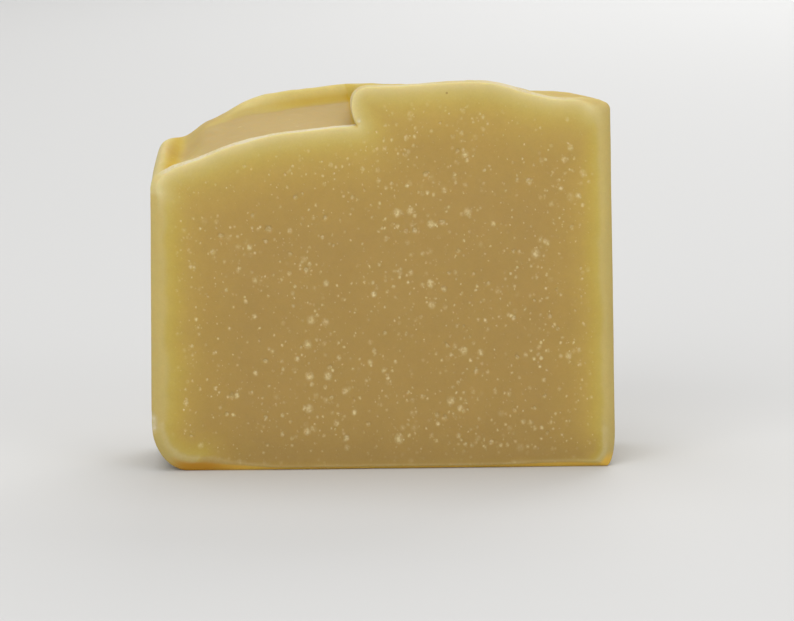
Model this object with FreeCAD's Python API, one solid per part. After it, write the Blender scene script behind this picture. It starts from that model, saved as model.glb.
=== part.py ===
import FreeCAD, Part
import math
import os

# A bar of soap: one slice of a loaf, standing on the side that was the bottom of the mould.
# X runs across the slice, Y from the front cut face to the back one, and Z up.
# The origin is the middle of the underside. All lengths are millimetres.

# The slice.
WIDTH = 80.0                 # across the sides, where the mould was widest
THICKNESS = 25.0             # from cut face to cut face
SIDE_LEAN = 0.6              # how far each side leans in, from its foot to its shoulder

# The two corners along the underside, each a quarter of an ellipse.
LEFT_CORNER_WIDTH = 6.3
LEFT_CORNER_HEIGHT = 8.4
RIGHT_CORNER_WIDTH = 1.5
RIGHT_CORNER_HEIGHT = 6.0

# The cut edges, rubbed down by hand: how far each cut face stands in from the slice's
# outline, and how deep the bevel between them is.
BEVEL_DEPTH = 0.9
BEVEL_LEFT = 1.6
BEVEL_RIGHT = 1.3
BEVEL_BOTTOM = 0.6
BEVEL_TOP = 0.3

# Heights along the sculpted top's front edge, from left to right.
LEFT_SHOULDER_FRONT = 48.6
LIP_FRONT = 51.9
CREASE_FRONT = 53.3
HOLLOW_FRONT = 59.8          # the hollow's floor, where the fold stands on it
CREST_FRONT = 67.2
RIGHT_SHOULDER_FRONT = 63.2

# The same heights along its back edge, where the ridge closes the hollow.
LEFT_SHOULDER_BACK = 50.6
LIP_BACK = 54.9
CREASE_BACK = 55.5
RIDGE_BACK = 64.6
CREST_BACK = 64.6
RIGHT_SHOULDER_BACK = 61.4

# Places across the top. Those of the fold are measured from the middle of the slice.
LIP_CROWN_INSET = 1.6        # from the left side to the lip's highest line
LIP_WIDTH = 4.4              # from the left side to the crease inside the lip
FOOT_FRONT = -4.1            # the fold's foot
FOOT_BACK = -6.0
NOSE_REACH = 0.95            # how far the fold's nose overhangs its foot
MOUND_START = -1.0           # where the mound levels off above the fold
SHOULDER_WIDTH = 1.2         # the right shoulder's rounding
SHOULDER_DROP = 1.4

# Half way back, the lip swells and the crease inside it deepens.
LIP_SWELL = 1.4
CREASE_DEPTH = 1.0

# The ridge at the back of the hollow.
RIDGE_FOOT = 5.2             # from the back cut face to the ridge's foot
RIDGE_RUN = 2.4              # the depth over which the ridge climbs
FLOOR_SHARE = 0.4            # the share of the climb that the floor makes before the ridge

# The lip's outer flank, as shares of the way in to its crown and up to it.
LIP_FLANK = (0.24, 0.6)

# The hollow, from the crease to the fold: the share of the way across, the share of the
# height gained there at the front and at the back, and how far the line follows the
# ridge (1) and not an even slope (0) from front to back.
HOLLOW_LINES = (
    (0.13, 0.20, 0.25, 0.15),
    (0.25, 0.43, 0.44, 0.35),
    (0.36, 0.59, 0.64, 0.65),
    (0.54, 0.78, 0.83, 1.00),
    (0.72, 0.88, 0.90, 1.00),
    (0.88, 0.96, 0.96, 1.00),
)

# The fold above its foot, at the front: the share of the nose's reach, below 0 where it
# has drawn back past the foot, and the share of the height from the foot to the crest.
FOLD_LINES = (
    (0.60, 0.20),
    (1.00, 0.48),
    (0.55, 0.72),
    (-0.75, 0.865),
)

# The mound, from where it levels off to the right shoulder: the share of the way across,
# and the share of the fall from crest to shoulder at the front and at the back.
MOUND_LINES = (
    (0.00, 0.17, 0.00),
    (0.16, 0.13, 0.17),
    (0.37, 0.02, 0.21),
    (0.53, 0.09, 0.28),
    (0.69, 0.53, 0.48),
    (0.82, 0.80, 0.55),
    (0.93, 0.82, 0.78),
)

# Where the slice is measured between the bevels: as shares of the depth there, and as
# shares of the ridge's run from its foot.
EVEN_STATIONS = (0.0, 0.25, 0.5)
RIDGE_STATIONS = (-0.5, 0.0, 0.33, 0.67, 1.0)

ROUND_HANDLE = 0.5523        # the Bezier handle of a quarter round, as a share of its radius
SEAM = 0.001                 # the faces are sewn along edges that meet within this

BODY_DEPTH = THICKNESS - 2.0 * BEVEL_DEPTH
RIDGE_START = BODY_DEPTH + BEVEL_DEPTH - RIDGE_FOOT


def mix(first, last, share):
    """The value that lies the given share of the way from the first to the last."""
    return first + (last - first) * share


def ease(share):
    """A smooth climb from 0 to 1."""
    share = min(max(share, 0.0), 1.0)
    return share * share * (3.0 - 2.0 * share)


def ridge_climb(depth):
    """How much of its height the hollow has gained at a depth behind the front bevel."""
    floor = FLOOR_SHARE * min(depth / RIDGE_START, 1.0)
    return floor + (1.0 - FLOOR_SHARE) * ease((depth - RIDGE_START) / RIDGE_RUN)


def hollow_points(depth):
    """The lip and the hollow in one cross-section, from the left shoulder to the foot of
    the fold, as (x, z)."""
    even = depth / BODY_DEPTH
    middle = 4.0 * even * (1.0 - even)
    climb = ridge_climb(depth)
    side = SIDE_LEAN - WIDTH / 2.0
    shoulder = mix(LEFT_SHOULDER_FRONT, LEFT_SHOULDER_BACK, even)
    lip = mix(LIP_FRONT, LIP_BACK, even) + LIP_SWELL * middle
    crease = mix(CREASE_FRONT, CREASE_BACK, even) - CREASE_DEPTH * middle
    foot = mix(FOOT_FRONT, FOOT_BACK, climb)
    points = [
        (side, shoulder),
        (side + LIP_FLANK[0] * LIP_CROWN_INSET, mix(shoulder, lip, LIP_FLANK[1])),
        (side + LIP_CROWN_INSET, lip),
        (side + LIP_WIDTH, crease),
    ]
    for across, front, back, follow in HOLLOW_LINES:
        z_front = mix(CREASE_FRONT, HOLLOW_FRONT, front)
        z_back = mix(CREASE_BACK, RIDGE_BACK, back)
        height = mix(z_front, z_back, mix(even, climb, follow))
        points.append((mix(side + LIP_WIDTH, foot, across), height))
    points.append((foot, mix(HOLLOW_FRONT, RIDGE_BACK, climb)))
    return points


def mound_points(depth):
    """The fold and the mound in one cross-section, from the foot of the fold to the right
    shoulder, as (x, z)."""
    even = depth / BODY_DEPTH
    climb = ridge_climb(depth)
    side = WIDTH / 2.0 - SIDE_LEAN - SHOULDER_WIDTH
    points = [(mix(FOOT_FRONT, FOOT_BACK, climb), mix(HOLLOW_FRONT, RIDGE_BACK, climb))]
    for number, (reach, height) in enumerate(FOLD_LINES, 1):
        along = number / (len(FOLD_LINES) + 1.0)
        x_front = FOOT_FRONT - NOSE_REACH * reach
        z_front = mix(HOLLOW_FRONT, CREST_FRONT, height)
        x_back = mix(FOOT_BACK, MOUND_START, along)
        z_back = mix(RIDGE_BACK, CREST_BACK, along * along)
        share = mix(climb, even, height)
        points.append((mix(x_front, x_back, share), mix(z_front, z_back, share)))
    for across, front, back in MOUND_LINES:
        z_front = mix(CREST_FRONT, RIGHT_SHOULDER_FRONT, front)
        z_back = mix(CREST_BACK, RIGHT_SHOULDER_BACK, back)
        points.append((mix(MOUND_START, side, across), mix(z_front, z_back, even)))
    points.append((side, mix(RIGHT_SHOULDER_FRONT, RIGHT_SHOULDER_BACK, even)))
    return points


def drawn_in(point):
    """The point of a cut face's outline that belongs to this point of the slice's own."""
    x, z = point
    across = x / WIDTH + 0.5
    up = z / CREST_FRONT
    return x + mix(BEVEL_LEFT, -BEVEL_RIGHT, across), z + mix(BEVEL_BOTTOM, -BEVEL_TOP, up)


def as_cut(point):
    """The slice's own outline, between its bevels."""
    return point


def pace(points):
    """How far along a line of points each of them lies, as a share of its length."""
    steps = [0.0]
    for (x_last, z_last), (x, z) in zip(points, points[1:]):
        steps.append(steps[-1] + math.hypot(x - x_last, z - z_last))
    return [step / steps[-1] for step in steps]


def outline(depth, y, fit):
    """The closed outline of the cross-section at a depth behind the front bevel, set at y:
    eight curves that follow on from each other, each point of them put through fit. The
    last is the straight edge of the underside."""
    def place(x, z):
        x, z = fit((x, z))
        return FreeCAD.Vector(x, y, z)

    def bezier(*poles):
        curve = Part.BezierCurve()
        curve.setPoles(poles)
        return curve.toBSpline()

    def quarter(start, corner, end):
        return bezier(start, mix(start, corner, ROUND_HANDLE), mix(end, corner, ROUND_HANDLE), end)

    def spline(points, shares):
        curve = Part.BSplineCurve()
        curve.interpolate(Points=[place(x, z) for x, z in points], Parameters=shares)
        return curve

    hollow = hollow_points(depth)
    mound = mound_points(depth)
    left = -WIDTH / 2.0
    right = WIDTH / 2.0
    brow = mound[-1][1]
    left_foot = place(left + LEFT_CORNER_WIDTH, 0.0)
    left_hip = place(left, LEFT_CORNER_HEIGHT)
    right_foot = place(right - RIGHT_CORNER_WIDTH, 0.0)
    right_hip = place(right, RIGHT_CORNER_HEIGHT)
    right_neck = place(right - SIDE_LEAN, brow - SHOULDER_DROP)
    right_brow = place(right - SIDE_LEAN, brow)
    return [
        quarter(left_foot, place(left, 0.0), left_hip),
        bezier(left_hip, place(*hollow[0])),
        spline(hollow, pace(hollow_points(0.0))),
        spline(mound, pace(mound_points(0.0))),
        quarter(place(*mound[-1]), right_brow, right_neck),
        bezier(right_neck, right_hip),
        quarter(right_hip, place(right, 0.0), right_foot),
        bezier(right_foot, left_foot),
    ]


def skin(curves, depths):
    """The smooth face that passes through curves of one kind, each at its own depth."""
    threads = []
    for poles in zip(*[curve.getPoles() for curve in curves]):
        thread = Part.BSplineCurve()
        thread.interpolate(Points=list(poles), Parameters=depths)
        threads.append(thread)
    along = curves[0]
    back = threads[0]
    surface = Part.BSplineSurface()
    surface.buildFromPolesMultsKnots(
        [thread.getPoles() for thread in threads],
        along.getMultiplicities(), back.getMultiplicities(),
        along.getKnots(), back.getKnots(),
        False, False, along.Degree, back.Degree)
    return surface.toShape()


def flat(curves):
    """The flat face inside a closed outline."""
    return Part.Face(Part.Wire([curve.toShape() for curve in curves]))


def underside(front, back):
    """The flat face that the slice stands on, between its front and its back edge."""
    return flat([
        front,
        Part.LineSegment(front.EndPoint, back.EndPoint),
        back,
        Part.LineSegment(back.StartPoint, front.StartPoint),
    ])


def soap_bar():
    """The slice: its skin between the bevels, the bevels and the two cut faces, sewn into
    one solid."""
    depths = [share * BODY_DEPTH for share in EVEN_STATIONS]
    depths += [RIDGE_START + share * RIDGE_RUN for share in RIDGE_STATIONS]
    depths.append(BODY_DEPTH)
    front = BEVEL_DEPTH - THICKNESS / 2.0
    outlines = [outline(depth, front + depth, as_cut) for depth in depths]
    front_face = outline(0.0, front - BEVEL_DEPTH, drawn_in)
    back_face = outline(BODY_DEPTH, front + BODY_DEPTH + BEVEL_DEPTH, drawn_in)
    faces = [flat(front_face), flat(back_face), underside(outlines[0][-1], outlines[-1][-1])]
    faces += [skin(curves, depths) for curves in list(zip(*outlines))[:-1]]
    faces += [skin(curves, [0.0, BEVEL_DEPTH]) for curves in zip(front_face, outlines[0])]
    faces += [skin(curves, [0.0, BEVEL_DEPTH]) for curves in zip(outlines[-1], back_face)]
    shell = Part.Compound(faces)
    shell.sewShape(SEAM)
    return Part.makeSolid(shell.Shells[0])


bar = soap_bar()
os.makedirs("parts", exist_ok=True)
bar.exportStep("parts/soap_bar.step")
box = bar.BoundBox
print("soap_bar", "valid", bar.isValid(), "solids", len(bar.Solids), "faces", len(bar.Faces))
print("volume %.1f cm3" % (bar.Volume / 1000.0))
print("box %.2f..%.2f %.2f..%.2f %.2f..%.2f" % (
    box.XMin, box.XMax, box.YMin, box.YMax, box.ZMin, box.ZMax))
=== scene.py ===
"""A bar of soap cut by hand from a loaf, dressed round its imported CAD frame.

The slice is one piece. Its skin is a closed outline carried from the front cut face to the
back one, and each cut face is a flat sheet of triangles with the larger air bubbles sunk
into it. Sizes are millimetres until the mesh is made, which is in metres.
"""

import logging
import math
from collections.abc import Callable
from dataclasses import dataclass, field
from enum import Enum

import bpy
import numpy as np
from mathutils import Matrix, Vector
from mathutils.geometry import delaunay_2d_cdt

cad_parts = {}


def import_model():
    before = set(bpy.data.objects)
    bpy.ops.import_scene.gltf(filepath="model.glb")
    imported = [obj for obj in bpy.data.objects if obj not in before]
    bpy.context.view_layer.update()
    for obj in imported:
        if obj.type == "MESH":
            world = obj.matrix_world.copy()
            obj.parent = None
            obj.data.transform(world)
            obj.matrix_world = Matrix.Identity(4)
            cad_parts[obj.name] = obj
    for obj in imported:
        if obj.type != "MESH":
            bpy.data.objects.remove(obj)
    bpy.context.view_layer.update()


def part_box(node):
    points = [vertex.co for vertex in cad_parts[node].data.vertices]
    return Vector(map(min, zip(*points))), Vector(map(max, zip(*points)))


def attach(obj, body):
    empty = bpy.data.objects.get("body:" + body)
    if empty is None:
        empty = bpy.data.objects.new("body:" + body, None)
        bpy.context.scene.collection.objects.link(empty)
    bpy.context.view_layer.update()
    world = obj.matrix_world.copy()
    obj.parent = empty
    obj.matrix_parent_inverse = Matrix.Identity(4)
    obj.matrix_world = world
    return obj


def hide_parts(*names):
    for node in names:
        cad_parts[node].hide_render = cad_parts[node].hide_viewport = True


Values = float | np.ndarray
Pair = tuple[float, float]
Triple = tuple[float, float, float]
Socket = bpy.types.NodeSocket
Feed = float | tuple | Socket    # what a node's input can be given

MM = 0.001
ROUND_HANDLE = 0.5523        # a quarter round's handles, as a share of the way to its corner
POINTS_AT_ONCE = 2000        # how many points to_outline measures in one block
LEAST_RISE = 1e-9            # the least height of an edge that a level line can cross
FAR_OFF = 1000.0             # more than any distance on the slice
log = logging.getLogger("soap")


class Stretch(Enum):
    """The eight stretches of the slice's outline, clockwise as seen from the front."""

    LEFT_CORNER = 0
    LEFT_SIDE = 1
    HOLLOW = 2
    MOUND = 3
    RIGHT_SHOULDER = 4
    RIGHT_SIDE = 5
    RIGHT_CORNER = 6
    UNDERSIDE = 7


class Surface(Enum):
    """The two surfaces of the soap. The value is the material's place in the mesh."""

    CUT = 0
    SKIN = 1


def mix(first: Values, last: Values, share: Values) -> Values:
    """The value that lies the given share of the way from the first to the last.

    Args:
        first: The value at share 0, a number or an array.
        last: The value at share 1.
        share: How far from the first to the last.

    Returns:
        first + (last - first) * share, with the arrays stretched to fit each other.
    """
    return first + (last - first) * share


def slope(value: np.ndarray, start: float, run: float) -> np.ndarray:
    """A smooth climb from 0 to 1: three times the square less twice the cube of the share.

    Args:
        value: Where along the climb.
        start: Where it starts.
        run: How far it takes. The share is the way past the start over the run, held
            between 0 and 1.

    Returns:
        The height, flat at both ends.
    """
    held = np.clip((value - start) / run, 0.0, 1.0)
    return held * held * (3.0 - 2.0 * held)


def bell(value: np.ndarray, middle: float, width: Values) -> np.ndarray:
    """A bell: e to the minus half the square of the distance from its middle over its width.

    Args:
        value: Where across the bell.
        middle: Where it is 1.
        width: The distance from there at which it has fallen to 0.61.

    Returns:
        The bell's height.
    """
    return np.exp(-0.5 * ((value - middle) / width) ** 2)


@dataclass(frozen=True)
class Waves:
    """Soft lumps: their height, their usual distance and the seed of their directions."""

    height: float
    wavelength: float
    seed: int
    count: int = 24
    spread: Pair = (0.6, 1.6)

    def over(self, points: np.ndarray) -> np.ndarray:
        """The sum of plane waves in seeded directions, brought to about the height.

        Args:
            points: Places in millimetres, with x, y and z along the last axis.

        Returns:
            One value for each point.
        """
        dice = np.random.default_rng(self.seed)
        ways = dice.normal(size=(self.count, 3))
        ways /= np.linalg.norm(ways, axis=1, keepdims=True)
        lengths = self.wavelength * dice.uniform(*self.spread, size=(self.count, 1))
        ways *= 2.0 * math.pi / lengths
        starts = dice.uniform(0.0, 2.0 * math.pi, size=self.count)
        total = np.sin(points @ ways.T + starts).sum(axis=-1)
        return self.height * (total / math.sqrt(2.0 * self.count))


def bezier_weights(poles: int, shares: np.ndarray) -> np.ndarray:
    """How much each pole of a Bezier line counts at some shares of the way along it.

    The weight of pole k of n is the binomial of n - 1 over k, times the share to the power
    of k, times the rest to the power of n - 1 - k.

    Args:
        poles: The number of poles, 2 for a straight line and 4 for a quarter round.
        shares: How far along, from 0 to 1.

    Returns:
        A row for each share and a column for each pole.
    """
    degree = poles - 1
    powers = np.arange(poles)
    binomials = np.array([math.comb(degree, k) for k in range(poles)], float)
    along = shares[:, None]
    return binomials * along ** powers * (1.0 - along) ** (degree - powers)


def spline_weights(knots: np.ndarray, shares: np.ndarray) -> np.ndarray:
    """How much each point counts at some places on the smooth line through all of them.

    The line is a cubic between each two points, with one slope and one bend on both sides
    of a point. At each end it has the slope of the cubic through the four points there.

    Args:
        knots: Where along the line each of the points lies, rising.
        shares: Where along it the line is wanted.

    Returns:
        A row for each share and a column for each point.
    """
    count = len(knots)
    step = np.diff(knots)
    inner = np.arange(1, count - 1)
    slopes = np.zeros((count, count))
    pulls = np.zeros((count, count))
    before = step[1:] / step[:-1]
    after = step[:-1] / step[1:]
    slopes[inner, inner - 1] = step[1:]
    slopes[inner, inner] = 2.0 * (step[:-1] + step[1:])
    slopes[inner, inner + 1] = step[:-1]
    pulls[inner, inner - 1] = -3.0 * before
    pulls[inner, inner] = 3.0 * (before - after)
    pulls[inner, inner + 1] = 3.0 * after
    slopes[0, 0] = slopes[-1, -1] = 1.0
    pulls[0, :4] = np.linalg.inv(np.vander(knots[:4] - knots[0], increasing=True))[1]
    pulls[-1, -4:] = np.linalg.inv(np.vander(knots[-4:] - knots[-1], increasing=True))[1]
    tangents = np.linalg.solve(slopes, pulls)
    piece = np.clip(np.searchsorted(knots, shares, side="right") - 1, 0, count - 2)
    length = step[piece][:, None]
    along = ((shares - knots[piece])[:, None]) / length
    points = np.eye(count)
    return (
        (2.0 * along ** 3 - 3.0 * along ** 2 + 1.0) * points[piece]
        + (along ** 3 - 2.0 * along ** 2 + along) * length * tangents[piece]
        + (3.0 * along ** 2 - 2.0 * along ** 3) * points[piece + 1]
        + (along ** 3 - along ** 2) * length * tangents[piece + 1]
    )


def pace(points: np.ndarray) -> np.ndarray:
    """How far along a line of points each of them lies, as a share of its length.

    Args:
        points: One row for each point.

    Returns:
        A rising share for each point, from 0 to 1.
    """
    steps = np.linalg.norm(np.diff(points, axis=0), axis=1)
    return np.concatenate([[0.0], np.cumsum(steps)]) / steps.sum()


@dataclass(frozen=True)
class SliceSizes:
    """The slice's lengths in millimetres, the same ones as in the part's source."""

    width: float
    thickness: float
    side_lean: float = 0.6
    left_corner: Pair = (6.3, 8.4)
    right_corner: Pair = (1.5, 6.0)
    bevel_depth: float = 0.9
    bevel_sides: Pair = (1.6, 1.3)
    bevel_foot: float = 0.6
    bevel_top: float = 0.3
    left_shoulder: Pair = (48.6, 50.6)
    lip: Pair = (51.9, 54.9)
    crease: Pair = (53.3, 55.5)
    hollow: Pair = (59.8, 64.6)
    crest: Pair = (67.2, 64.6)
    right_shoulder: Pair = (63.2, 61.4)
    lip_crown_inset: float = 1.6
    lip_width: float = 4.4
    fold_foot: Pair = (-4.1, -6.0)
    nose_reach: float = 0.95
    mound_start: float = -1.0
    shoulder_width: float = 1.2
    shoulder_drop: float = 1.4
    lip_swell: float = 1.4
    crease_depth: float = 1.0
    ridge_foot: float = 5.2
    ridge_run: float = 2.4
    floor_share: float = 0.4
    lip_flank: Pair = (0.24, 0.6)

    @property
    def body_depth(self) -> float:
        """The depth between the two bevels."""
        return self.thickness - 2.0 * self.bevel_depth

    @property
    def ridge_start(self) -> float:
        """The depth behind the front bevel at which the ridge starts to climb."""
        return self.body_depth + self.bevel_depth - self.ridge_foot


@dataclass(frozen=True)
class TopLines:
    """The lines of the sculpted top, as shares of the sizes that they lie between."""

    hollow: tuple[tuple[float, float, float, float], ...] = (
        (0.13, 0.20, 0.25, 0.15),
        (0.25, 0.43, 0.44, 0.35),
        (0.36, 0.59, 0.64, 0.65),
        (0.54, 0.78, 0.83, 1.00),
        (0.72, 0.88, 0.90, 1.00),
        (0.88, 0.96, 0.96, 1.00),
    )
    fold: tuple[Pair, ...] = (
        (0.60, 0.20),
        (1.00, 0.48),
        (0.55, 0.72),
        (-0.75, 0.865),
    )
    mound: tuple[Triple, ...] = (
        (0.00, 0.17, 0.00),
        (0.16, 0.13, 0.17),
        (0.37, 0.02, 0.21),
        (0.53, 0.09, 0.28),
        (0.69, 0.53, 0.48),
        (0.82, 0.80, 0.55),
        (0.93, 0.82, 0.78),
    )


@dataclass
class SliceShape:
    """The slice's outline at any depth, the way the part's source draws it."""

    sizes: SliceSizes
    lines: TopLines = field(default_factory=TopLines)
    counts: tuple[int, ...] = (26, 54, 100, 150, 8, 64, 14, 92)

    @property
    def labels(self) -> np.ndarray:
        """The stretch that each point of the outline belongs to."""
        return np.repeat(np.arange(len(self.counts)), self.counts)

    @property
    def shares(self) -> np.ndarray:
        """How far along its own stretch each point of the outline lies."""
        return np.concatenate([np.arange(count) / count for count in self.counts])

    def on(self, *stretches: Stretch) -> np.ndarray:
        """Whether each point of the outline belongs to one of some stretches."""
        return np.isin(self.labels, [stretch.value for stretch in stretches])

    def climb(self, depth: np.ndarray) -> np.ndarray:
        """How much of its height the hollow has gained at a depth: a share of it evenly
        up to the ridge, and the rest in one smooth climb there.

        Args:
            depth: Depths behind the front bevel.

        Returns:
            The share gained at each depth.
        """
        s = self.sizes
        floor = s.floor_share * np.minimum(depth / s.ridge_start, 1.0)
        return floor + (1.0 - s.floor_share) * slope(depth, s.ridge_start, s.ridge_run)

    def hollow_poles(self, depth: np.ndarray) -> np.ndarray:
        """The points of the lip and the hollow, from the left shoulder to the fold's foot.

        Args:
            depth: Depths behind the front bevel.

        Returns:
            The x and z of each point at each depth.
        """
        s = self.sizes
        even = (depth / s.body_depth)[:, None]
        climb = self.climb(depth)[:, None]
        middle = 4.0 * even * (1.0 - even)
        side = s.side_lean - s.width / 2.0
        shoulder = mix(*s.left_shoulder, even)
        lip = mix(*s.lip, even) + s.lip_swell * middle
        crease = mix(*s.crease, even) - s.crease_depth * middle
        foot = mix(*s.fold_foot, climb)
        across, front, back, follow = np.array(self.lines.hollow).T
        low = mix(s.crease[0], s.hollow[0], front)
        high = mix(s.crease[1], s.hollow[1], back)
        flank = mix(shoulder, lip, s.lip_flank[1])
        x = np.concatenate([
            np.full_like(even, side),
            np.full_like(even, side + s.lip_flank[0] * s.lip_crown_inset),
            np.full_like(even, side + s.lip_crown_inset),
            np.full_like(even, side + s.lip_width),
            mix(side + s.lip_width, foot, across),
            foot,
        ], axis=1)
        z = np.concatenate([
            shoulder, flank, lip, crease,
            mix(low, high, mix(even, climb, follow)),
            mix(*s.hollow, climb),
        ], axis=1)
        return np.stack([x, z], axis=-1)

    def mound_poles(self, depth: np.ndarray) -> np.ndarray:
        """The points of the fold and the mound, from the fold's foot to the right shoulder.

        Args:
            depth: Depths behind the front bevel.

        Returns:
            The x and z of each point at each depth.
        """
        s = self.sizes
        even = (depth / s.body_depth)[:, None]
        climb = self.climb(depth)[:, None]
        side = s.width / 2.0 - s.side_lean - s.shoulder_width
        reach, height = np.array(self.lines.fold).T
        along = np.arange(1, len(reach) + 1) / (len(reach) + 1.0)
        share = mix(climb, even, height)
        fold_x = mix(s.fold_foot[0] - s.nose_reach * reach,
                     mix(s.fold_foot[1], s.mound_start, along), share)
        fold_z = mix(mix(s.hollow[0], s.crest[0], height),
                     mix(s.hollow[1], s.crest[1], along * along), share)
        across, front, back = np.array(self.lines.mound).T
        mound_x = np.broadcast_to(mix(s.mound_start, side, across), (len(depth), len(across)))
        mound_z = mix(mix(s.crest[0], s.right_shoulder[0], front),
                      mix(s.crest[1], s.right_shoulder[1], back), even)
        x = np.concatenate([
            mix(*s.fold_foot, climb), fold_x, mound_x, np.full_like(even, side)], axis=1)
        z = np.concatenate([
            mix(*s.hollow, climb), fold_z, mound_z, mix(*s.right_shoulder, even)], axis=1)
        return np.stack([x, z], axis=-1)

    def outline(self, depth: np.ndarray) -> np.ndarray:
        """The closed outline at some depths: Bezier corners and sides, and splines through
        the points of the top.

        Args:
            depth: Depths behind the front bevel.

        Returns:
            The x and z of each point of the outline, one outline for each depth.
        """
        s = self.sizes
        hollow = self.hollow_poles(depth)
        mound = self.mound_poles(depth)
        start = np.zeros(1)
        left, right = -s.width / 2.0, s.width / 2.0
        brow = mound[:, -1, 1]

        def at(x: Values, z: Values) -> np.ndarray:
            """One point at every depth."""
            return np.stack(np.broadcast_arrays(x + 0.0 * depth, z + 0.0 * depth), axis=-1)

        def quarter(first: np.ndarray, corner: np.ndarray, last: np.ndarray) -> np.ndarray:
            """The four poles of a quarter round between two points."""
            return np.stack([first, mix(first, corner, ROUND_HANDLE),
                             mix(last, corner, ROUND_HANDLE), last], axis=1)

        left_foot = at(left + s.left_corner[0], 0.0)
        left_hip = at(left, s.left_corner[1])
        right_foot = at(right - s.right_corner[0], 0.0)
        right_hip = at(right, s.right_corner[1])
        right_neck = at(right - s.side_lean, brow - s.shoulder_drop)
        poles = [
            quarter(left_foot, at(left, 0.0), left_hip),
            np.stack([left_hip, hollow[:, 0]], axis=1),
            hollow,
            mound,
            quarter(mound[:, -1], at(right - s.side_lean, brow), right_neck),
            np.stack([right_neck, right_hip], axis=1),
            quarter(right_hip, at(right, 0.0), right_foot),
            np.stack([right_foot, left_foot], axis=1),
        ]
        knots = {
            Stretch.HOLLOW.value: pace(self.hollow_poles(start)[0]),
            Stretch.MOUND.value: pace(self.mound_poles(start)[0]),
        }
        lines = []
        for number, (points, count) in enumerate(zip(poles, self.counts)):
            shares = np.arange(count) / count
            if number in knots:
                weights = spline_weights(knots[number], shares)
            else:
                weights = bezier_weights(points.shape[1], shares)
            lines.append(np.einsum("ps,dsc->dpc", weights, points))
        return np.concatenate(lines, axis=1)

    def inward(self, outline: np.ndarray) -> np.ndarray:
        """How far the cut face's outline lies in from each point of the slice's own.

        Args:
            outline: The x and z of the slice's outline.

        Returns:
            The step from each point to the cut face's outline.
        """
        s = self.sizes
        across = outline[..., 0] / s.width + 0.5
        up = outline[..., 1] / s.crest[0]
        return np.stack([mix(s.bevel_sides[0], -s.bevel_sides[1], across),
                         mix(s.bevel_foot, -s.bevel_top, up)], axis=-1)


@dataclass(frozen=True)
class EdgeStations:
    """The path from a cut face round its bevel: how far in from the slice's outline, as a
    share of the bevel's width, and how far behind the face, as a share of its depth.

    Roundness is the share of the bevel that the rounding takes on each stretch. From one
    stretch to the next it is blended by a bell over some outline points.
    """

    corner_steps: int = 5
    middle: Triple = (0.25, 0.5, 0.75)
    roundness: tuple[float, ...] = (0.36, 0.42, 0.12, 0.12, 0.44, 0.42, 0.36, 0.20)
    blend: float = 7.0
    blend_reach: int = 20

    def corners(self, labels: np.ndarray) -> np.ndarray:
        """How round the bevel's two edges are, blended from one stretch to the next.

        Args:
            labels: The stretch of each outline point.

        Returns:
            The share of the bevel that each rounding takes, for each outline point.
        """
        window = np.arange(-self.blend_reach, self.blend_reach + 1)
        weights = bell(window, 0.0, self.blend)
        wrapped = np.pad(np.array(self.roundness)[labels], self.blend_reach, mode="wrap")
        return np.convolve(wrapped, weights / weights.sum(), mode="valid")

    def path(self, labels: np.ndarray) -> tuple[np.ndarray, np.ndarray]:
        """The bevel with both its edges rounded by a three-pole Bezier.

        Args:
            labels: The stretch of each outline point.

        Returns:
            The inward share and the depth share, a row for each station from the face
            outwards and a column for each outline point.
        """
        c = self.corners(labels)
        none, full = np.zeros_like(c), np.ones_like(c)
        weights = bezier_weights(3, np.linspace(0.0, 1.0, self.corner_steps))
        middle = np.array(self.middle)[:, None]
        share = np.concatenate([weights @ np.stack([1.0 + c, full, 1.0 - c]),
                                mix(1.0 - c, c, middle),
                                weights @ np.stack([c, none, none])])
        drop = np.concatenate([weights @ np.stack([none, none, c]),
                               mix(c, 1.0 - c, middle),
                               weights @ np.stack([1.0 - c, full, 1.0 + c])])
        return share, drop


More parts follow.
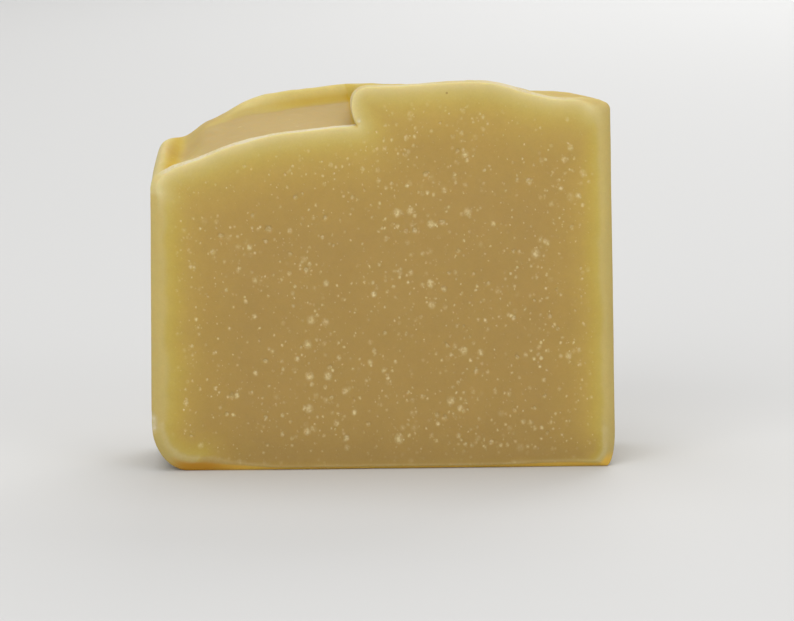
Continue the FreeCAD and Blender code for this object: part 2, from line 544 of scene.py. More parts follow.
@dataclass(frozen=True)
class BubbleField:
    """The larger air bubbles that a cut has opened, each a shallow bowl.

    Placed ones have an x, a z and a radius. The seeded ones lie between the limits across
    and up, no nearer to the rim than the clearance, and small ones are commoner by the
    skew. A bowl is taller than wide, its depth is a share of its radius, and its radius
    wavers by a wave of two and a wave of three turns.
    """

    seed: int
    number: int
    placed: tuple[Triple, ...] = ()
    radii: Pair = (0.24, 0.44)
    skew: float = 2.2
    across: Pair = (-38.0, 38.0)
    up: Pair = (2.0, 64.0)
    tries: int = 40
    clearance: float = 2.6
    apart: float = 1.5
    depths: Pair = (0.3, 0.55)
    tallness: float = 1.12
    waver: Pair = (0.08, 0.06)
    pallor: Pair = (0.35, 0.4)
    fade: Pair = (0.4, 0.8)
    bowl_rings: tuple[tuple[float, int], ...] = (
        (0.0, 1), (0.42, 6), (0.76, 10), (0.98, 14), (1.22, 14))

    def scatter(self, inside: Callable[[np.ndarray], np.ndarray]) -> np.ndarray:
        """The placed bubbles, and seeded ones between them.

        Args:
            inside: A function that tells how far inside the face's outline points lie.

        Returns:
            A row for each bubble, with its x, z, radius and depth. None touches another.
        """
        dice = np.random.default_rng(self.seed)
        spots = [np.array(place) for place in self.placed]
        count = self.tries * self.number
        tries = np.stack([
            dice.uniform(*self.across, count),
            dice.uniform(*self.up, count),
            mix(*self.radii, dice.random(count) ** self.skew),
        ], axis=1)
        for spot in tries[inside(tries[:, :2]) > self.clearance]:
            if len(spots) >= self.number + len(self.placed):
                break
            if all(math.dist(spot[:2], other[:2]) > self.apart * (spot[2] + other[2])
                   for other in spots):
                spots.append(spot)
        found = np.array(spots)
        depths = dice.uniform(*self.depths, len(found)) * found[:, 2]
        return np.column_stack([found, depths])

    def bowls(self, bubbles: np.ndarray) -> np.ndarray:
        """Rings of points round each bubble, dense enough to show its bowl.

        Args:
            bubbles: The bubbles of one face.

        Returns:
            The x and z of the points.
        """
        ring = np.concatenate([
            reach * np.stack([np.cos(turn), self.tallness * np.sin(turn)], axis=1)
            for reach, count in self.bowl_rings
            for turn in [2.0 * math.pi * (np.arange(count) + 0.5 * reach) / count]])
        return (bubbles[:, None, :2] + bubbles[:, 2, None, None] * ring).reshape(-1, 2)

    def sink(self, points: np.ndarray, bubbles: np.ndarray) -> tuple[np.ndarray, np.ndarray]:
        """How deep the bowls are at some points: the root of 1 less the square of the
        distance over the radius, inside the radius.

        Args:
            points: The x and z of points on the face.
            bubbles: The bubbles of that face.

        Returns:
            The depth at each point, and how pale a bubble makes it, from 0 to 1.
        """
        dice = np.random.default_rng(self.seed + 1)
        starts = dice.uniform(0.0, 2.0 * math.pi, (2, len(bubbles)))
        pallor = self.pallor[0] + self.pallor[1] * dice.random(len(bubbles))
        gap = (points[:, None] - bubbles[:, :2]) / np.array([1.0, self.tallness])
        way = np.arctan2(gap[..., 1], gap[..., 0])
        two, three = self.waver
        waver = 1.0 + two * np.sin(2.0 * way + starts[0]) + three * np.sin(3.0 * way + starts[1])
        ratio = np.linalg.norm(gap, axis=2) / (bubbles[:, 2] * waver)
        bowl = np.sqrt(np.clip(1.0 - ratio ** 2, 0.0, 1.0))
        pale = (1.0 - slope(ratio, *self.fade)) * pallor
        return (bowl * bubbles[:, 3]).max(axis=1), pale.max(axis=1)


def to_outline(points: np.ndarray, ring: np.ndarray, weights: np.ndarray,
               heads: Values = 0.0) -> tuple[np.ndarray, np.ndarray]:
    """How far inside a closed outline points lie.

    The distance to each edge is that to the nearest place on it. A point is inside if a
    line from it to the right crosses the outline an odd number of times.

    Args:
        points: The x and z of the points.
        ring: The x and z of the outline's points, in order.
        weights: What the distance to each edge is multiplied by for the weighted result.
        heads: What is added to each edge's weighted distance.

    Returns:
        The distance from the outline, negative outside, and the least weighted distance.
    """
    ends = np.roll(ring, -1, axis=0)
    edge = ends - ring
    length2 = (edge ** 2).sum(axis=1)
    rise = np.where(np.abs(edge[:, 1]) < LEAST_RISE, LEAST_RISE, edge[:, 1])
    plain, weighted = [], []
    for part in np.array_split(points, max(1, len(points) // POINTS_AT_ONCE)):
        gap = part[:, None] - ring
        along = np.clip((gap * edge).sum(axis=2) / length2, 0.0, 1.0)
        far = np.linalg.norm(gap - along[..., None] * edge, axis=2)
        level = part[:, None, 1]
        crosses = (ring[:, 1] > level) != (ends[:, 1] > level)
        reach = ring[:, 0] + edge[:, 0] * (level - ring[:, 1]) / rise
        odd = (crosses & (part[:, None, 0] < reach)).sum(axis=1) % 2 == 1
        plain.append(np.where(odd, far.min(axis=1), -far.min(axis=1)))
        weighted.append((far * weights + heads).min(axis=1))
    return np.concatenate(plain), np.concatenate(weighted)


@dataclass
class Patch:
    """Part of a mesh: its points, its faces by those points' numbers, and its masks."""

    points: np.ndarray
    faces: np.ndarray
    masks: dict[str, np.ndarray]
    surface: np.ndarray


@dataclass(frozen=True)
class CutFace:
    """How one cut face is laid out: its lattice's step, its bubbles, and the slow sway and
    the drawn-out marks that the wire leaves.

    The lattice covers the limits across and up, and keeps off the rim by a share of its
    step and off a bubble by a multiple of its radius. The waves die down towards the rim.
    """

    lattice: float
    bubbles: BubbleField
    sway: Waves
    marks: Waves
    mark_drag: float = 0.16
    calm_rim: float = 3.0
    across: Pair = (-41.0, 41.0)
    up: Pair = (-1.0, 70.0)
    rim_gap: float = 0.55
    bowl_gap: float = 1.55
    weld: float = 1e-7

    def grid(self) -> np.ndarray:
        """The lattice before it is trimmed: rows of points, every second row half a step on.

        Returns:
            The x and z of its points.
        """
        rows = np.arange(*self.up, self.lattice * math.sqrt(3.0) / 2.0)
        x, z = np.meshgrid(np.arange(*self.across, self.lattice), rows)
        x = x + (np.arange(len(rows)) % 2 * self.lattice / 2.0)[:, None]
        return np.stack([x.ravel(), z.ravel()], axis=1)

    def triangles(self, points: np.ndarray, count: int, front: bool) -> np.ndarray:
        """The flat triangles between a rim and the points inside it, turned outwards.

        Args:
            points: The x and z of the rim's points, and then of the inner ones.
            count: How many of them are the rim's.
            front: Whether this is the front face.

        Returns:
            The numbers of each triangle's three points.
        """
        ring = np.arange(count)
        loop = np.stack([ring, np.roll(ring, -1)], axis=1).tolist()
        made = delaunay_2d_cdt([Vector(point) for point in points], loop, [], 1, self.weld)
        if len(made[0]) != len(points):
            raise RuntimeError("the cut face's triangles added points of their own")
        faces = np.array(made[2])
        corners = points[faces]
        across = corners[:, 1] - corners[:, 0]
        onward = corners[:, 2] - corners[:, 0]
        area = across[:, 0] * onward[:, 1] - across[:, 1] * onward[:, 0]
        backwards = (area > 0.0) != front
        faces[backwards] = faces[backwards][:, ::-1]
        return faces

    def wave(self, spots: np.ndarray, inside: np.ndarray) -> np.ndarray:
        """How far the wire strayed into the face: the sway and the marks, calmed at the rim.

        Args:
            spots: Places on the flat face.
            inside: How far inside the rim they lie.

        Returns:
            The step inwards at each place.
        """
        drawn_out = spots * np.array([1.0, 1.0, self.mark_drag])
        both = self.sway.over(spots) + self.marks.over(drawn_out)
        return both * slope(inside, 0.0, self.calm_rim)


@dataclass(frozen=True)
class SkinMarks:
    """Where the colours of the skin and the bevels lie, and how strong they are.

    A pair is where a smooth slope starts and how far it runs, or, where its name ends in
    bell, a bell's middle and width. They are shares along a stretch of the outline, or
    millimetres: rise counts behind the ridge's foot, reach in from a cut face and past from
    the crease inside the lip. A number alone is a strength. Besides the ash and the dried
    soap of the edges, the marks are painted light and shade: the glow, the ridge's lit rim,
    the slope painted lighter, the shaded band and creases, the foot's darker orange and the
    highlight in the edge line.
    """

    # the paling, partly the paler rind and partly painted light at the thin edges; along the
    # underside it is held back as painted shade
    paling_behind: float = 0.35
    underside_head: float = 5.0
    underside_in: Pair = (-35.0, 7.0)
    underside_out: Pair = (30.0, 6.0)
    underside_drop: float = 0.7
    paling_weights: tuple[float, ...] = (1.3, 1.0, 0.72, 0.72, 0.9, 1.25, 2.6, 8.0)
    # painted light: how far below the top the light let through it shows
    glow_depth: float = 1.5

    # the ridge's band is painted shade, its rim and the slope at its left (pale) are painted
    # lighter
    ridge_along: Pair = (0.46, 0.34)
    band_in: Pair = (-0.05, 0.8)
    band_out: Pair = (0.95, 0.8)
    rim_along: Pair = (0.28, 0.3)
    rim_rise: Pair = (0.9, 0.8)
    lip_past: Pair = (-0.085, 0.06)
    pale_rise_bell: Pair = (0.8, 0.7)
    pale_in: Pair = (0.25, 0.1)
    pale_out: Pair = (0.6, 0.2)
    pale_foot: float = 0.6
    pale_foot_bell: Pair = (0.25, 0.045)

    ash_past: Pair = (-0.005, 0.05)
    ash_end: Pair = (0.0, 0.02)
    ash_on_pale: float = 0.6
    mound_ash: float = 0.25
    mound_ash_in: Pair = (0.3, 0.2)

    # painted crease shade: a saturated orange in the crease, at the fold's foot and in the band
    amber_past: float = -0.013
    amber_widths: Pair = (0.030, 0.015)
    amber_strengths: Pair = (0.45, 1.25)
    amber_fade: float = 9.0
    amber_reach: Pair = (0.7, 0.4)
    fold_widths: Pair = (0.012, 0.016)
    fold_amber: float = 0.85
    fold_out: Pair = (0.7, 0.8)
    band_amber: float = 0.55

    # painted light and shade: the orange of the bevels' lowest part
    foot_in: Pair = (0.0, 0.3)
    foot_out: Pair = (1.0, 1.4)
    foot_up: Pair = (0.9, 2.2)
    foot_left: Pair = (-39.0, 5.0)

    # painted light let through the top, on the bevels, the lip, the left shoulder, the rim and
    # the slope
    bevel_dim: float = 0.8
    bevel_dim_out: Pair = (0.0, 0.35)
    lip_glow: float = 0.6
    side_along: Pair = (0.7, 0.3)
    side_reach: Pair = (0.9, 1.5)
    rim_glows: Pair = (0.75, 0.4)
    rim_glow_along: Pair = (0.5, 0.25)
    band_glow: float = 0.25
    pale_glow: float = 0.35

    # the white edge line: dried soap with a painted highlight, strongest at the nicks
    dry_hollow_in: Pair = (0.07, 0.05)
    dry_end: float = 0.85
    dry_end_in: Pair = (0.86, 0.1)
    dry_mound: Pair = (0.42, 0.4)
    dry_crest_bell: Pair = (0.71, 0.06)
    dry_shoulder: float = 0.08
    dry_in: Pair = (0.02, 0.25)
    dry_out: Pair = (-0.1, 0.25)
    dry_back: float = 0.35
    dry_foot: float = 0.12
    dry_foot_bell: Pair = (0.0, 0.15)
    dry_lip: float = 0.18
    dry_lip_reach: Pair = (0.9, 0.5)
    dry_nick: float = 1.6
    dry_nick_width: float = 0.9


@dataclass
class SoapBar:
    """The slice of soap, from its sizes to its dressed mesh.

    Rubs are places on the outline worn by a hand: x, z, size, and the push in x and z.
    Nicks are small dents in the front rim: x, z and size. The first two show dried soap
    with a painted highlight.
    """

    shape: SliceShape
    front: CutFace
    back: CutFace
    edges: EdgeStations = field(default_factory=EdgeStations)
    marks: SkinMarks = field(default_factory=SkinMarks)
    body_stations: int = 58
    bevel_gap: float = 0.12
    skin_rows: int = 2
    name: str = "soap_slice"
    node: str = "soap_bar"
    slot: str = "soap"
    rubbing: tuple[Waves, Waves] = (Waves(0.16, 7.0, 11), Waves(0.07, 1.9, 12))
    rubbing_apart: float = 12.0
    top_lumps: tuple[Waves, Waves] = (Waves(0.10, 8.0, 21), Waves(0.035, 2.6, 22))
    side_lumps: Waves = Waves(0.05, 11.0, 23)
    calm_edge: float = 2.5
    rubs: tuple[tuple[float, ...], ...] = (
        (38.9, 62.6, 2.4, -0.35, -0.6),
        (-32.6, 0.2, 3.6, 0.0, 1.35),
        (-25.0, 0.0, 3.0, 0.0, 0.35),
        (32.0, 0.0, 6.0, 0.0, 0.45),
    )
    nicks: tuple[Triple, ...] = (
        (-40.0, 9.1, 0.55),
        (-39.8, 7.6, 0.5),
        (31.5, 62.6, 0.5),
        (-21.0, 56.6, 0.4),
    )
    dry_nicks: int = 2
    nick_depth: float = 0.28
    nick_y: float = -11.9

    def stations(self) -> tuple[np.ndarray, np.ndarray]:
        """The stations from the front cut face to the back one: those of the bevels, and
        between them body stations that stand closer together at both ends.

        Returns:
            The inward share and the y, a row for each station and a column for each
            outline point.
        """
        s = self.shape.sizes
        share, drop = self.edges.path(self.shape.labels)
        front = drop * s.bevel_depth - s.thickness / 2.0
        start = front[-1] + self.bevel_gap
        even = np.linspace(0.0, 1.0, self.body_stations)[:, None]
        body = mix(start, -start, even - 0.5 * np.sin(2.0 * math.pi * even) / (2.0 * math.pi))
        y = np.concatenate([front, body, -front[::-1]])
        return np.concatenate([share, np.zeros_like(body), share[::-1]]), y

    def skin(self) -> Patch:
        """The skin and both bevels: the outline carried along the stations.

        At a station the outline is moved in by the inward share of the bevel's step, which
        wavers along the edge as a hand's rubbing leaves it and grows at the rubs. The
        sculpted top gets soft lumps and the sides fainter ones, along the surface's normal.

        Returns:
            The grid of points and its quadrilaterals.
        """
        s = self.shape.sizes
        share, y = self.stations()
        top = self.shape.on(Stretch.HOLLOW, Stretch.MOUND)
        side = self.shape.on(Stretch.LEFT_SIDE, Stretch.RIGHT_SIDE)
        in_hollow = int(np.argmax(top)) + self.shape.counts[Stretch.HOLLOW.value] // 2
        depth = np.clip(y[:, in_hollow] + s.thickness / 2.0 - s.bevel_depth, 0.0, s.body_depth)
        ring = self.shape.outline(depth)
        flat = np.stack([ring[..., 0], np.sign(y) * self.rubbing_apart, ring[..., 1]], axis=-1)
        slow, fine = self.rubbing
        rubbed = 1.0 + slow.over(flat) + fine.over(flat)
        rubbed = np.where(self.shape.on(Stretch.UNDERSIDE), 1.0, rubbed)
        step = rubbed[..., None] * self.shape.inward(ring)
        for x, z, size, push_x, push_z in self.rubs:
            near = bell(np.linalg.norm(ring - np.array([x, z]), axis=2), 0.0, size)
            step = step + near[..., None] * np.array([push_x, push_z])
        xz = ring + share[..., None] * step
        points = np.stack([xz[..., 0], y, xz[..., 1]], axis=-1)
        turn = np.roll(points, -1, axis=1) - np.roll(points, 1, axis=1)
        normal = np.cross(turn, np.gradient(points, axis=0))
        normal /= np.linalg.norm(normal, axis=2, keepdims=True)
        body = slope(s.thickness / 2.0 - np.abs(y), 0.0, self.calm_edge)
        slow, fine = self.top_lumps
        lumps = top * (slow.over(points) * body + fine.over(points))
        lumps = lumps + side * self.side_lumps.over(points) * body
        points = points + lumps[..., None] * normal
        for nick in self.nicks:
            dent = self.nick_depth * bell(self.nick_gap(points, nick), 0.0, nick[2])
            points = points - dent[..., None] * normal
        grid = np.arange(points.shape[0] * points.shape[1]).reshape(points.shape[:2])
        after = np.roll(grid, -1, axis=1)
        quads = np.stack([grid[:-1], after[:-1], after[1:], grid[1:]], axis=-1).reshape(-1, 4)
        row = np.arange(len(y) - 1)
        bevel = (len(y) - self.body_stations) // 2 - self.skin_rows
        cut = (row < bevel) | (row >= len(y) - 1 - bevel)
        surface = np.repeat(np.where(cut, Surface.CUT.value, Surface.SKIN.value),
                            points.shape[1])
        masks = self.skin_masks(depth[:, None], points)
        return Patch(points.reshape(-1, 3), quads, masks, surface)

    def nick_gap(self, points: np.ndarray, nick: Triple) -> np.ndarray:
        """The distance of points from a nick.

        Args:
            points: The points.
            nick: Its x, z and size.

        Returns:
            The distance of each point.
        """
        return np.linalg.norm(points - np.array([nick[0], self.nick_y, nick[1]]), axis=-1)

    def skin_masks(self, depth: np.ndarray, points: np.ndarray) -> dict[str, np.ndarray]:
        """The masks of the skin and the bevels.

        Each is a product of smooth slopes and bells along the outline and along the depth.
        Ash lies on the hollow's floor, short of the ridge and of the slope at its left that is
        painted lighter, and faintly on the mound. Painted shade, a saturated orange, lies in the
        crease inside the lip, at the fold's foot and half way up the ridge, and foot is a darker
        painted orange on the bevels' lowest part, which faces down. Glow is painted light let
        through the top: on the bevels below the top, on the lip with the left side's shoulder,
        on the ridge's rim and on that slope. Edge is the white line of the cut edges, partly
        dried soap and partly a painted highlight, and inset the distance that the paling goes by.

        Args:
            depth: Each station's depth behind the front bevel.
            points: The grid of points.

        Returns:
            A value for each point and each mask.
        """
        s, m = self.shape.sizes, self.marks
        along = self.shape.shares
        x, y, z = np.moveaxis(points, -1, 0)
        reach = s.thickness / 2.0 - np.abs(y)
        hollow = self.shape.on(Stretch.HOLLOW)
        mound = self.shape.on(Stretch.MOUND)
        low = self.shape.on(Stretch.LEFT_CORNER, Stretch.RIGHT_CORNER, Stretch.UNDERSIDE)
        past = along - pace(self.shape.hollow_poles(np.zeros(1))[0])[3]
        rise = depth - s.ridge_start
        # painted light and shade on the top: the band is shaded, the rim and the pale slope lit
        ridge = hollow * slope(along, *m.ridge_along)
        band = ridge * slope(rise, *m.band_in) * (1.0 - slope(rise, *m.band_out))
        rim = hollow * slope(along, *m.rim_along) * slope(rise, *m.rim_rise)
        lip = hollow * (1.0 - slope(past, *m.lip_past))
        pale = bell(rise, *m.pale_rise_bell) * slope(along, *m.pale_in)
        pale = pale * (1.0 - slope(along, *m.pale_out))
        pale = pale + m.pale_foot * bell(along, *m.pale_foot_bell)
        pale = hollow * np.clip(pale, 0.0, 1.0)

        ash = hollow * slope(past, *m.ash_past) * slope(1.0 - along, *m.ash_end)
        ash = ash * (1.0 - np.clip(band + rim + m.ash_on_pale * pale, 0.0, 1.0))
        ash = ash + mound * m.mound_ash * slope(along, *m.mound_ash_in)

        # painted crease shade
        inner_lip = bell(past, m.amber_past, np.where(past < m.amber_past, *m.amber_widths))
        inner_lip = inner_lip * mix(*m.amber_strengths, np.exp(-depth / m.amber_fade))
        fold_foot = (hollow * bell(along, 1.0, m.fold_widths[0])
                     + mound * bell(along, 0.0, m.fold_widths[1]))
        crease_shade = hollow * inner_lip * slope(reach, *m.amber_reach)
        crease_shade = crease_shade + m.fold_amber * fold_foot * (1.0 - slope(rise, *m.fold_out))
        crease_shade = crease_shade + m.band_amber * band

        # painted light and shade: the orange of the bevels' lowest part
        foot = low * slope(reach, *m.foot_in) * (1.0 - slope(reach, *m.foot_out))
        foot = foot * (1.0 - slope(z, *m.foot_up)) * slope(x, *m.foot_left)

        # painted light let through the top
        left_side = self.shape.on(Stretch.LEFT_SIDE) * slope(along, *m.side_along)
        glow = self.bevel_glow(points)
        glow = glow + m.lip_glow * (lip + left_side * slope(reach, *m.side_reach))
        glow = glow + mix(*m.rim_glows, slope(along, *m.rim_glow_along)) * rim
        glow = glow + m.band_glow * band + m.pale_glow * pale

        # the white edge line: dried soap with a painted highlight
        crest = m.dry_mound[0] + m.dry_mound[1] * bell(along, *m.dry_crest_bell)
        strength = hollow * slope(along, *m.dry_hollow_in)
        strength = strength + mound * (1.0 - m.dry_end * slope(along, *m.dry_end_in)) * crest
        strength = strength + m.dry_shoulder * self.shape.on(Stretch.RIGHT_SHOULDER)
        line = slope(reach, *m.dry_in) * (1.0 - slope(reach - s.bevel_depth, *m.dry_out))
        edge = line * strength * np.where(y < 0.0, 1.0, m.dry_back)
        edge = edge + m.dry_foot * low * bell(reach, *m.dry_foot_bell)
        edge = edge + m.dry_lip * lip * slope(reach, *m.dry_lip_reach)
        for nick in self.nicks[:self.dry_nicks]:
            gap = self.nick_gap(points, nick)
            edge = edge + m.dry_nick * bell(gap, 0.0, m.dry_nick_width * nick[2])

        shares = {"ash": ash, "crease_shade": crease_shade, "foot": foot, "edge": edge,
                  "bubble": np.zeros_like(reach), "glow": glow}
        masks = {key: np.clip(value, 0.0, 1.0).reshape(-1) for key, value in shares.items()}
        behind = np.clip(reach - s.bevel_depth, 0.0, None)
        # the paling: partly the paler rind, partly painted light at the thin edges
        inset = m.paling_behind * behind + self.inset_heads(points[0][:, [0, 2]])
        return {"inset": inset.reshape(-1)} | masks

    def bevel_glow(self, points: np.ndarray) -> np.ndarray:
        """The painted light on the two bevels, let through from the sculpted top: e to the minus
        distance below the top over the glow's depth, dimmer behind the cut face.

        Args:
            points: The grid of points.

        Returns:
            The glow of each point, 0 behind the bevels.
        """
        m = self.marks
        y = points[..., 1]
        reach = self.shape.sizes.thickness / 2.0 - np.abs(y)
        near = reach.min(axis=1) < self.shape.sizes.bevel_depth
        glow = np.zeros_like(reach)
        for rows, ring in ((near & (y[:, 0] < 0.0), points[0]),
                           (near & (y[:, 0] > 0.0), points[-1])):
            flat = points[rows][..., [0, 2]].reshape(-1, 2)
            below = self.below_top(flat, ring[:, [0, 2]]).reshape(-1, len(ring))
            dimmed = 1.0 - m.bevel_dim * slope(reach[rows], *m.bevel_dim_out)
            glow[rows] = np.exp(-below / m.glow_depth) * dimmed
        return glow

    def cut_face(self, face: CutFace, rim: np.ndarray, y: float, first: int) -> Patch:
        """A cut face: a lattice of triangles inside the rim, with the bubbles' bowls in it.

        Between the rim and the middle the face waves by a few hundredths of a millimetre,
        as a wire leaves it, and each bowl goes in along y.

        Args:
            face: How the face is laid out.
            rim: The x and z of the skin's first or last ring.
            y: The face's place.
            first: The number that the face's first own point gets in the mesh.

        Returns:
            The face's own points, and triangles that start at number first after the rim.
        """
        weights = np.array(self.marks.paling_weights)[self.shape.labels]
        lattice = face.grid()
        inside = to_outline(lattice, rim, weights)[0]
        lattice = lattice[inside > face.rim_gap * face.lattice]
        found = face.bubbles.scatter(lambda spots: to_outline(spots, rim, weights)[0])
        gaps = np.linalg.norm(lattice[:, None] - found[:, :2], axis=2) / found[:, 2]
        lattice = lattice[gaps.min(axis=1) > face.bowl_gap]
        inner = np.concatenate([face.bubbles.bowls(found), lattice])
        count = len(rim)
        faces = face.triangles(np.concatenate([rim, inner]), count, y < 0.0)
        rim_first = 0 if y < 0.0 else first - count
        numbers = np.where(faces < count, faces + rim_first, faces - count + first)
        plain, weighted = to_outline(inner, rim, weights, self.inset_heads(rim))
        depth, within = face.bubbles.sink(inner, found)
        spots = np.stack([inner[:, 0], np.full(len(inner), y), inner[:, 1]], axis=1)
        spots[:, 1] -= np.sign(y) * (depth + face.wave(spots, plain))
        # painted light let through the top, fading below it
        glow = np.exp(-self.below_top(inner, rim) / self.marks.glow_depth)
        masks = {key: np.zeros(len(inner)) for key in ("ash", "crease_shade", "foot", "edge")}
        masks |= {"inset": weighted, "bubble": within, "glow": glow}
        return Patch(spots, numbers, masks, np.full(len(faces), Surface.CUT.value))

    def below_top(self, points: np.ndarray, rim: np.ndarray) -> np.ndarray:
        """How far points lie from the sculpted top's part of a rim: the distance to the
        rim's other edges is put far off.

        Args:
            points: The x and z of the points.
            rim: The x and z of the cut face's rim.

        Returns:
            The distance of each point.
        """
        top = self.shape.on(Stretch.HOLLOW, Stretch.MOUND)
        return to_outline(points, rim, top * 1.0, np.where(top, 0.0, FAR_OFF))[1]

    def inset_heads(self, rim: np.ndarray) -> np.ndarray:
        """What is added for each edge in the paling: along the underside the paling is held back
        as painted shade, and the soap stays dark right to the edge.

        Args:
            rim: The x and z of the rim's points.

        Returns:
            The addition for each point of the outline.
        """
        m = self.marks
        x = rim[:, 0]
        head = m.underside_head * slope(x, *m.underside_in)
        head = head * (1.0 - m.underside_drop * slope(x, *m.underside_out))
        return np.where(self.shape.on(Stretch.UNDERSIDE), head, 0.0)

    def build(self) -> bpy.types.Object:
        """The slice as one closed mesh with its masks as point attributes.

        Returns:
            The object, at the origin, with its place in its mesh.
        """
        skin = self.skin()
        count, first = len(self.shape.labels), len(skin.points)
        low, high = skin.points[:count], skin.points[-count:]
        front = self.cut_face(self.front, low[:, [0, 2]], float(low[0, 1]), first)
        back = self.cut_face(self.back, high[:, [0, 2]], float(high[0, 1]), first)
        back.faces = np.where(back.faces >= first, back.faces + len(front.points), back.faces)
        patches = (skin, front, back)
        points = np.concatenate([patch.points for patch in patches]) * MM
        faces = sum((patch.faces.tolist() for patch in patches), [])
        surfaces = np.concatenate([patch.surface for patch in patches])
        mesh = bpy.data.meshes.new(self.name)
        mesh.from_pydata(points.tolist(), [], faces)
        mesh.polygons.foreach_set("material_index", surfaces.astype(np.int32))
        mesh.polygons.foreach_set("use_smooth", np.ones(len(faces), bool))
        for key in skin.masks:
            values = np.concatenate([patch.masks[key] for patch in patches])
            attribute = mesh.attributes.new(key, "FLOAT", "POINT")
            attribute.data.foreach_set("value", values.astype(np.float32))
        mesh.update()
        piece = bpy.data.objects.new(self.name, mesh)
        bpy.context.scene.collection.objects.link(piece)
        return piece

    def dress(self, piece: bpy.types.Object, finishes: "SoapFinishes") -> None:
        """Puts the soap's materials on the slice and ties it to the frame.

        Args:
            piece: The slice's object.
            finishes: The finishes of its two surfaces.
        """
        piece.data.materials.append(finishes.cut())
        piece.data.materials.append(finishes.skin())
        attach(piece, "root")
        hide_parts(self.node)


def linear(colour: Triple) -> tuple[float, float, float, float]:
    """A colour as the renderer counts it.

    Args:
        colour: Red, green and blue as a screen shows them, from 0 to 255.

    Returns:
        The linear colour and an alpha of 1.
    """
    shares = np.array(colour) / 255.0
    made = np.where(shares <= 0.04045, shares / 12.92, ((shares + 0.055) / 1.055) ** 2.4)
    return (*[float(value) for value in made], 1.0)


@dataclass
class Graph:
    """A node tree, with short calls that add a node and join its sockets."""

    tree: bpy.types.NodeTree

    def add(self, kind: str, inputs: dict | None = None, **settings) -> bpy.types.Node:
        """A new node.

        Args:
            kind: The node's type name, without its ShaderNode at the front.
            inputs: A value or a socket for each input, by its name or number.
            settings: The node's own properties.

        Returns:
            The node.
        """
        node = self.tree.nodes.new("ShaderNode" + kind)
        for key, value in settings.items():
            setattr(node, key, value)
        for key, value in (inputs or {}).items():
            if isinstance(value, Socket):
                self.tree.links.new(value, node.inputs[key])
            else:
                node.inputs[key].default_value = value
        return node

    def maths(self, operation: str, first: Feed, second: Feed, clamp: bool = False) -> Socket:
        """One sum on two values or sockets.

        Args:
            operation: The Math node's operation.
            first: The first value or socket.
            second: The second one.
            clamp: Whether the result is held between 0 and 1.

        Returns:
            The socket with the result.
        """
        node = self.add("Math", {0: first, 1: second}, operation=operation, use_clamp=clamp)
        return node.outputs[0]

    def times(self, first: Feed, second: Feed, clamp: bool = False) -> Socket:
        """The product of two values or sockets, held between 0 and 1 if asked."""
        return self.maths("MULTIPLY", first, second, clamp)

    def plus(self, first: Feed, second: Feed, clamp: bool = False) -> Socket:
        """The sum of two values or sockets, held between 0 and 1 if asked."""
        return self.maths("ADD", first, second, clamp)

    def scaled(self, vector: Socket, factor: Feed) -> Socket:
        """A colour or a place times one factor."""
        return self.add("VectorMath", {0: vector, "Scale": factor}, operation="SCALE").outputs[0]

    def stretched(self, vector: Socket, factors: Triple) -> Socket:
        """A place times one factor for each axis."""
        return self.add("VectorMath", {0: vector, 1: factors}, operation="MULTIPLY").outputs[0]

    def noise(self, vector: Socket, scale: float, detail: float = 2.0) -> Socket:
        """A soft noise, of as many lumps to the metre as the scale says."""
        inputs = {"Vector": vector, "Scale": scale, "Detail": detail}
        return self.add("TexNoise", inputs).outputs["Fac"]

    def span(self, value: Socket, low: float, high: float, first: float,
             last: float) -> Socket:
        """A value carried smoothly from one range to another.

        Args:
            value: The socket to carry over.
            low: Where the first range starts.
            high: Where it ends.
            first: What low becomes.
            last: What high becomes.

        Returns:
            The socket with the result.
        """
        node = self.add("MapRange", {"Value": value, "From Min": low, "From Max": high,
                                     "To Min": first, "To Max": last},
                        interpolation_type="SMOOTHSTEP")
        return node.outputs["Result"]

    def tint(self, share: Feed, under: Feed, over: Feed) -> Socket:
        """A colour laid over another.

        Args:
            share: How much of the upper one shows, a value or a socket.
            under: The lower linear colour, or its socket.
            over: The upper one.

        Returns:
            The socket with the colour.
        """
        node = self.add("Mix", {0: share, 6: under, 7: over}, data_type="RGBA")
        return node.outputs[2]

    def mask(self, name: str) -> Socket:
        """One of the mesh's own masks, by its attribute's name."""
        return self.add("Attribute", attribute_name=name).outputs["Fac"]

    def group(self, name: str, inputs: dict[str, Feed]) -> bpy.types.NodeOutputs:
        """The outputs of a node group placed in this tree.

        Args:
            name: The group's name.
            inputs: The values or sockets of its inputs.

        Returns:
            Its outputs, by their names.
        """
        return self.add("Group", inputs, node_tree=bpy.data.node_groups[name]).outputs


@dataclass
class Group:
    """A node group: its name, its inputs' values at first and the names of its outputs.

    The first input is a place, and all the others are numbers.
    """

    name: str
    numbers: dict[str, float]
    outputs: tuple[str, ...]
    graph: Graph = field(init=False)
    given: dict[str, Socket] = field(init=False)

    def __post_init__(self) -> None:
        """Makes the empty group with its sockets."""
        tree = bpy.data.node_groups.new(self.name, "ShaderNodeTree")
        tree.interface.new_socket("Position", in_out="INPUT", socket_type="NodeSocketVector")
        for key, value in self.numbers.items():
            socket = tree.interface.new_socket(key, in_out="INPUT",
                                               socket_type="NodeSocketFloat")
            socket.default_value = value
        for key in self.outputs:
            tree.interface.new_socket(key, in_out="OUTPUT", socket_type="NodeSocketFloat")
        start = tree.nodes.new("NodeGroupInput")
        self.graph = Graph(tree)
        self.given = {key: start.outputs[key] for key in ("Position", *self.numbers)}

    def finish(self, *results: Socket) -> None:
        """Joins the results to the group's outputs.

        Args:
            results: The sockets with the results, in the outputs' order.
        """
        tree = self.graph.tree
        end = tree.nodes.new("NodeGroupOutput")
        for key, result in zip(self.outputs, results):
            tree.links.new(result, end.inputs[key])
        log.info("shader group %s", self.name)


